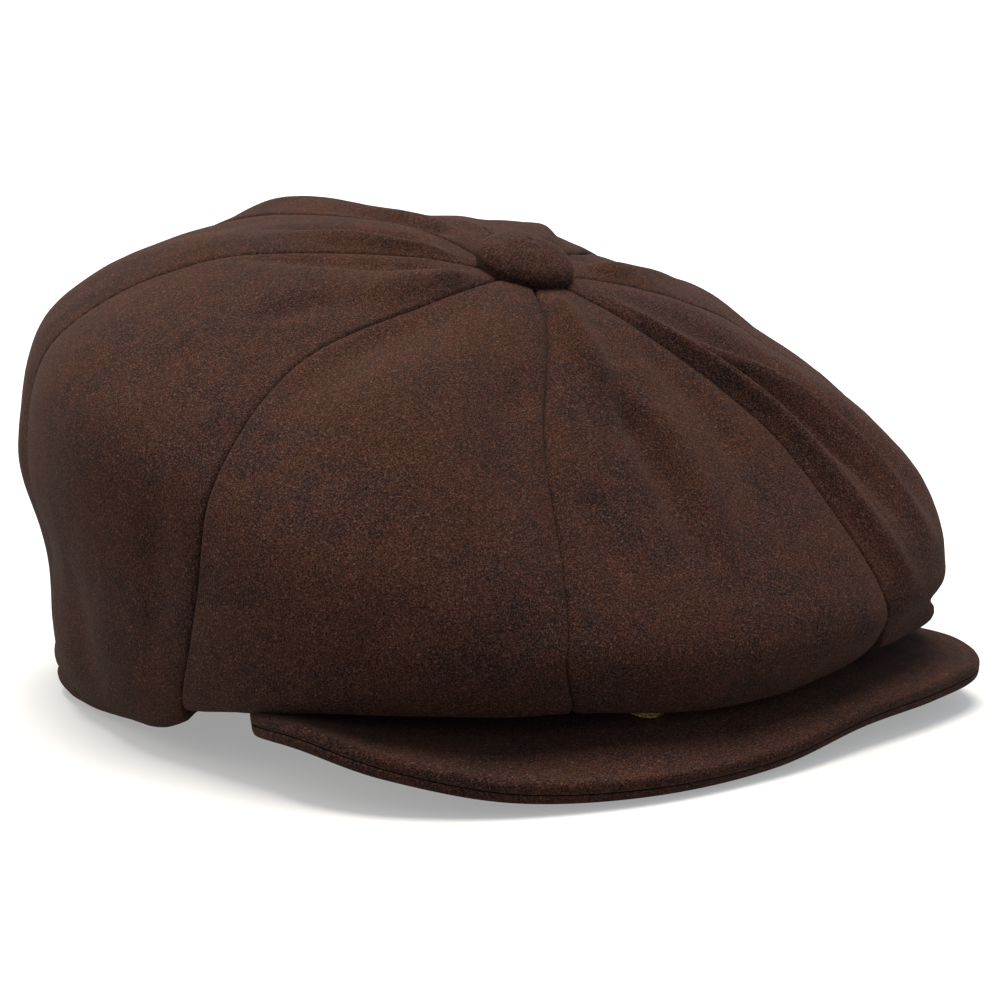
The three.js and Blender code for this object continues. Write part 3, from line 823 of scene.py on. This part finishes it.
# ---------- bands ----------
BAND_HEIGHT = 30
BAND_BOTTOM = 0.6        # above the rim
FOOT_ROWS = [0.4, 1, 1.4, 1.6]
FOOT_DEPTH = 1.4
TAPE_INSET = 1.3
TAPE_BOTTOM = 4.6
TAPE_HEIGHT = 24
RIBS = 360
RIB_DEPTH = 0.35


def band(name, inset, thick, bottom, height, material, columns, rows, ribs=0, rib_depth=0.0, foot=0.0):
    """A band round the head opening. Its lowest part is turned out by foot, and it has ribs inside."""
    angles = np.linspace(0, 2 * np.pi, columns, endpoint=False)[:, None]
    share = np.union1d(np.linspace(0, 1, rows), np.array(FOOT_ROWS) / height)[None, :]
    angles, share = np.broadcast_arrays(angles, share)
    edge = np.minimum(share, 1 - share) * height
    round_edge = np.clip(0.5 - edge, 0, 0.5) ** 2 * 1.6 * thick / 2
    rib = rib_depth * (0.5 + 0.5 * np.cos(angles * ribs)) * smoothstep(edge, 0.2, 1.2) if ribs else 0
    wave = 0.25 * noise(opening_point(angles, 0) + share[..., None] * [0, 0, height], 18, 12)
    wave = wave * smoothstep(edge, 0, 6)
    outer = opening_point(angles, 0)
    inner = opening_point(angles, 0)
    lift = rim_height(opening_point(angles, inset)[..., 1]) + bottom + share * height
    unit = outer / np.linalg.norm(outer, axis=-1, keepdims=True)
    turned_out = foot * (1 - smoothstep(share * height, 1.2, FOOT_ROWS[-1]))
    outer = outer + unit * (inset + thick - round_edge + np.minimum(wave, 0) + turned_out)[..., None]
    inner = inner + unit * (inset + round_edge + rib + np.minimum(wave, 0))[..., None]
    outer[..., 2] = lift
    inner[..., 2] = lift
    vertices, faces = closed_sheet(outer, inner, loop=True)
    piece = add_object(name, vertices, faces, material)
    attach(piece, "crown")
    return piece


sweatband = band(
    "grosgrain_sweatband", 0, 1, BAND_BOTTOM, BAND_HEIGHT, grosgrain, 4 * RIBS, 16,
    RIBS, RIB_DEPTH, FOOT_DEPTH)
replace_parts(sweatband, "sweatband")
tape = band(
    "buckram_head_tape", TAPE_INSET, 1, TAPE_BOTTOM, TAPE_HEIGHT, buckram, 240, 10)
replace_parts(tape, "headband_tape")

# ---------- lining ----------
LINING_TOP = 92
LINING_THICK = 0.8
TIP_RING = 0.62          # where the tip is sewn to the sides, from 0 in the middle to 1 at the band
TIP_SEAM_HALF = 0.004
TIP_HOLE = 0.012
SIDE_SEAM_HALF = 0.003   # radians


def lining_point(angle, ring):
    edge = opening_point(angle, 0.5)
    edge_z = rim_height(edge[..., 1]) + BAND_HEIGHT + 2
    rounding = np.sqrt(1 - np.minimum(ring, 1) ** 2.5)
    points = edge * ring[..., None]
    points[..., 2] = edge_z + (LINING_TOP - edge_z) * rounding
    return points


def lining_layers(angle, ring):
    """The lining's two faces, with soft wrinkles that fade at its seams."""
    points = lining_point(angle, ring)
    centre = np.array([0, 0, 20])
    inward = centre - points
    inward /= np.linalg.norm(inward, axis=-1, keepdims=True)
    near_seam = np.minimum(np.abs(ring - TIP_RING), 1 - ring)
    free = smoothstep(near_seam, 0, 0.10)
    wrinkle = 1.4 * noise(points * [1, 1, 0.45], 15, 13) + 0.5 * noise(points, 6, 14)
    dip = 0.5 * np.exp(-(((ring - TIP_RING) / 0.012) ** 2))
    depth = 0.9 + free * wrinkle * 0.6 + dip
    return points + inward * depth[..., None], points + inward * (depth + LINING_THICK)[..., None]


def lining_side(name, start, end, node):
    angle = np.linspace(start, end, 150)[:, None]
    ring = np.linspace(TIP_RING + TIP_SEAM_HALF, 1, 44)[None, :]
    angle, ring = np.broadcast_arrays(angle, ring)
    vertices, faces = closed_sheet(*lining_layers(angle, ring))
    side = add_object(name, vertices, faces, satin)
    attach(side, "crown")
    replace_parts(side, node)


lining_side("satin_lining_side_left", SIDE_SEAM_HALF, math.pi - SIDE_SEAM_HALF, "lining_side_left")
lining_side(
    "satin_lining_side_right", math.pi + SIDE_SEAM_HALF, 2 * math.pi - SIDE_SEAM_HALF, "lining_side_right")


def lining_tip():
    angle = np.linspace(0, 2 * np.pi, 160, endpoint=False)[:, None]
    ring = np.linspace(TIP_HOLE, TIP_RING - TIP_SEAM_HALF, 44)[None, :]
    angle, ring = np.broadcast_arrays(angle, ring)
    outer, inner = lining_layers(angle, ring)
    columns, rows = outer.shape[:2]
    vertices, faces = closed_sheet(outer, inner, loop=True)
    # The small hole in the middle is closed by two fans.
    keep = faces[~((faces % rows == 0).all(axis=1))]
    centres = np.array([outer[:, 0].mean(0), inner[:, 0].mean(0)])
    polygons = keep.tolist()
    base = columns * rows
    for i in range(columns):
        a, b = i * rows, ((i + 1) % columns) * rows
        polygons.append([2 * base, b, a])
        polygons.append([2 * base + 1, base + a, base + b])
    tip = add_object("satin_lining_tip", np.concatenate([vertices, centres]), polygons, satin)
    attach(tip, "crown")
    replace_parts(tip, "lining_tip")


lining_tip()

# ---------- stitches and label ----------
def stitches(name, points, directions, length, radius, material):
    """Short rounded stitches, one at each point, joined in one mesh."""
    sides = 6
    stations = np.array([-0.5, -0.35, 0, 0.35, 0.5])
    girth = np.array([0.25, 0.85, 1, 0.85, 0.25])
    sink = np.array([-1.2, -0.25, 0, -0.25, -1.2])
    vertices = []
    polygons = []
    for point, (along, normal) in zip(points, directions):
        sideways = np.cross(along, normal)
        start = len(vertices)
        for station, width, depth in zip(stations, girth, sink):
            for k in range(sides):
                turn = 2 * math.pi * k / sides
                around = math.cos(turn) * sideways + math.sin(turn) * normal
                vertices.append(
                    point + along * station * length + around * radius * width + normal * depth * radius)
        for ring in range(len(stations) - 1):
            for k in range(sides):
                a = start + ring * sides + k
                b = start + ring * sides + (k + 1) % sides
                polygons.append([a, b, b + sides, a + sides])
        polygons.append([start + k for k in reversed(range(sides))])
        polygons.append([start + (len(stations) - 1) * sides + k for k in range(sides)])
    piece = add_object(name, np.array(vertices), polygons, material)
    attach(piece, "crown")
    return piece


BAND_STITCHES = 150
BAND_STITCH_HEIGHT = 3.6


def band_stitching():
    angles = np.linspace(0, 2 * np.pi, BAND_STITCHES, endpoint=False)
    points = opening_point(angles, 0.1)
    points[:, 2] = rim_height(points[:, 1]) + BAND_STITCH_HEIGHT
    ahead = np.roll(points, -1, axis=0) - np.roll(points, 1, axis=0)
    ahead /= np.linalg.norm(ahead, axis=1, keepdims=True)
    inward = -points * [1, 1, 0]
    inward /= np.linalg.norm(inward, axis=1, keepdims=True)
    row = stitches("sweatband_stitching", points, list(zip(ahead, inward)), 2.6, 0.22, thread)


band_stitching()

LABEL_FROM = math.radians(170)
LABEL_TO = math.radians(190)
LABEL_BOTTOM = 8
LABEL_TOP = 22
LABEL_BACK = -0.12       # outward from the sweatband's inside
LABEL_FRONT = -0.6
LABEL_ROUNDING = 0.6
LABEL_HEM = 1.4          # from the label's edge to its stitches


def label():
    angle = np.linspace(LABEL_FROM, LABEL_TO, 60)[:, None]
    height = np.linspace(LABEL_BOTTOM, LABEL_TOP, 30)[None, :]
    angle, height = np.broadcast_arrays(angle, height)
    from_ends = np.minimum(angle - LABEL_FROM, LABEL_TO - angle) * HEAD_HALF_LENGTH
    reach = np.minimum(from_ends, np.minimum(height - LABEL_BOTTOM, LABEL_TOP - height))
    rounding = np.clip(LABEL_ROUNDING - reach, 0, LABEL_ROUNDING) ** 2 * 0.5
    inside = opening_point(angle, 0)
    ripple = 0.06 * noise(inside + height[..., None] * [0, 0, 1], 3, 15)
    unit = inside / np.linalg.norm(inside, axis=-1, keepdims=True)
    back = inside + unit * LABEL_BACK
    front = inside + unit * (LABEL_FRONT + rounding + ripple)[..., None]
    back[..., 2] = height
    front[..., 2] = height
    vertices, faces = closed_sheet(back, front)
    piece = add_object("plain_woven_label", vertices, faces, label_cloth)
    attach(piece, "crown")
    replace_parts(piece, "blank_label")
    points = []
    directions = []

    def add_stitch(angle_at, z, upright):
        inward = -opening_point(angle_at, 0)
        inward /= np.linalg.norm(inward)
        up = np.array([0, 0, 1.0])
        points.append(opening_point(angle_at, LABEL_FRONT - 0.02, z))
        directions.append((up if upright else np.cross(up, inward), inward))

    for z in (LABEL_BOTTOM + LABEL_HEM, LABEL_TOP - LABEL_HEM):
        for a in np.linspace(LABEL_FROM + 0.02, LABEL_TO - 0.02, 15):
            add_stitch(a, z, False)
    for a in (LABEL_FROM + 0.014, LABEL_TO - 0.014):
        for z in np.linspace(LABEL_BOTTOM + 1.8, LABEL_TOP - 1.8, 6):
            add_stitch(a, z, True)
    sewn = stitches("label_stitching", points, directions, 1.5, 0.16, thread)


label()

# ---------- carried-over CAD nodes ----------
CARRIED = {
    "brim_board": brim_plastic,
    "button_shell": button_metal,
    "button_back": button_metal,
    "snap_stud": brass,
    "snap_stud_washer": brass,
    "snap_socket": brass,
    "snap_socket_cap": brass,
    "snap_socket_spring": spring_steel,
}
for name, material in CARRIED.items():
    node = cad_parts[name]
    node.data.materials.clear()
    node.data.materials.append(material)

# ---------- floor and light ----------
FLOOR_HALF = 30          # metres
FLOOR_Z = -0.0002


def add_floor():
    data = bpy.data.meshes.new("floor")
    half = FLOOR_HALF
    corners = [(-half, -half), (half, -half), (half, half), (-half, half)]
    data.from_pydata([(x, y, FLOOR_Z) for x, y in corners], [], [(0, 1, 2, 3)])
    m = Nodes("pale_floor_painted_glow")
    m.link(m.mix(m.ramp(m.noise(3, 2, 0.5), 0.3, 0.7, 0, 1), (0.24, 0.24, 0.24), (0.25, 0.25, 0.25)),
           m.shader.inputs["Base Color"])
    # The floor also glows evenly: painted light that lightens the shadows on it and adds light to the cap.
    m.set(Roughness=0.9, Specular_IOR_Level=0.1, Emission_Color=(1, 1, 1, 1), Emission_Strength=0.32)
    data.materials.append(m.material)
    floor = bpy.data.objects.new("floor", data)
    bpy.context.scene.collection.objects.link(floor)


def add_light(name, azimuth, elevation, spread, strength, colour):
    """A broad soft light from this side, as strong everywhere on the floor."""
    data = bpy.data.lights.new(name, "SUN")
    data.angle = math.radians(spread)
    data.energy = strength * math.pi
    data.color = colour
    light = bpy.data.objects.new(name, data)
    bpy.context.scene.collection.objects.link(light)
    a, e = math.radians(azimuth), math.radians(elevation)
    back = Vector((math.sin(a) * math.cos(e), -math.cos(a) * math.cos(e), math.sin(e)))
    light.location = 3 * back
    light.rotation_mode = "QUATERNION"
    light.rotation_quaternion = back.to_track_quat("Z", "Y")


COOL = (0.86, 0.93, 1)
COOL_STRENGTH = 1.18     # with COOL, bright enough that the background is white


def add_world():
    world = bpy.data.worlds.new("studio")
    world.use_nodes = True
    sky = world.node_tree.nodes["Background"]
    sky.inputs["Color"].default_value = (*COOL, 1)
    sky.inputs["Strength"].default_value = COOL_STRENGTH
    bpy.context.scene.world = world


add_floor()
add_world()
WARM = (1.0, 0.925, 0.84)
WARMER = (1.0, 0.87, 0.70)
add_light("overhead", 170, 84, 40, 3.2, WARM)
add_light("left_rim", -140, 25, 45, 0.65, WARMER)
bpy.context.scene.view_settings.view_transform = "Standard"
bpy.context.scene.view_settings.look = "None"
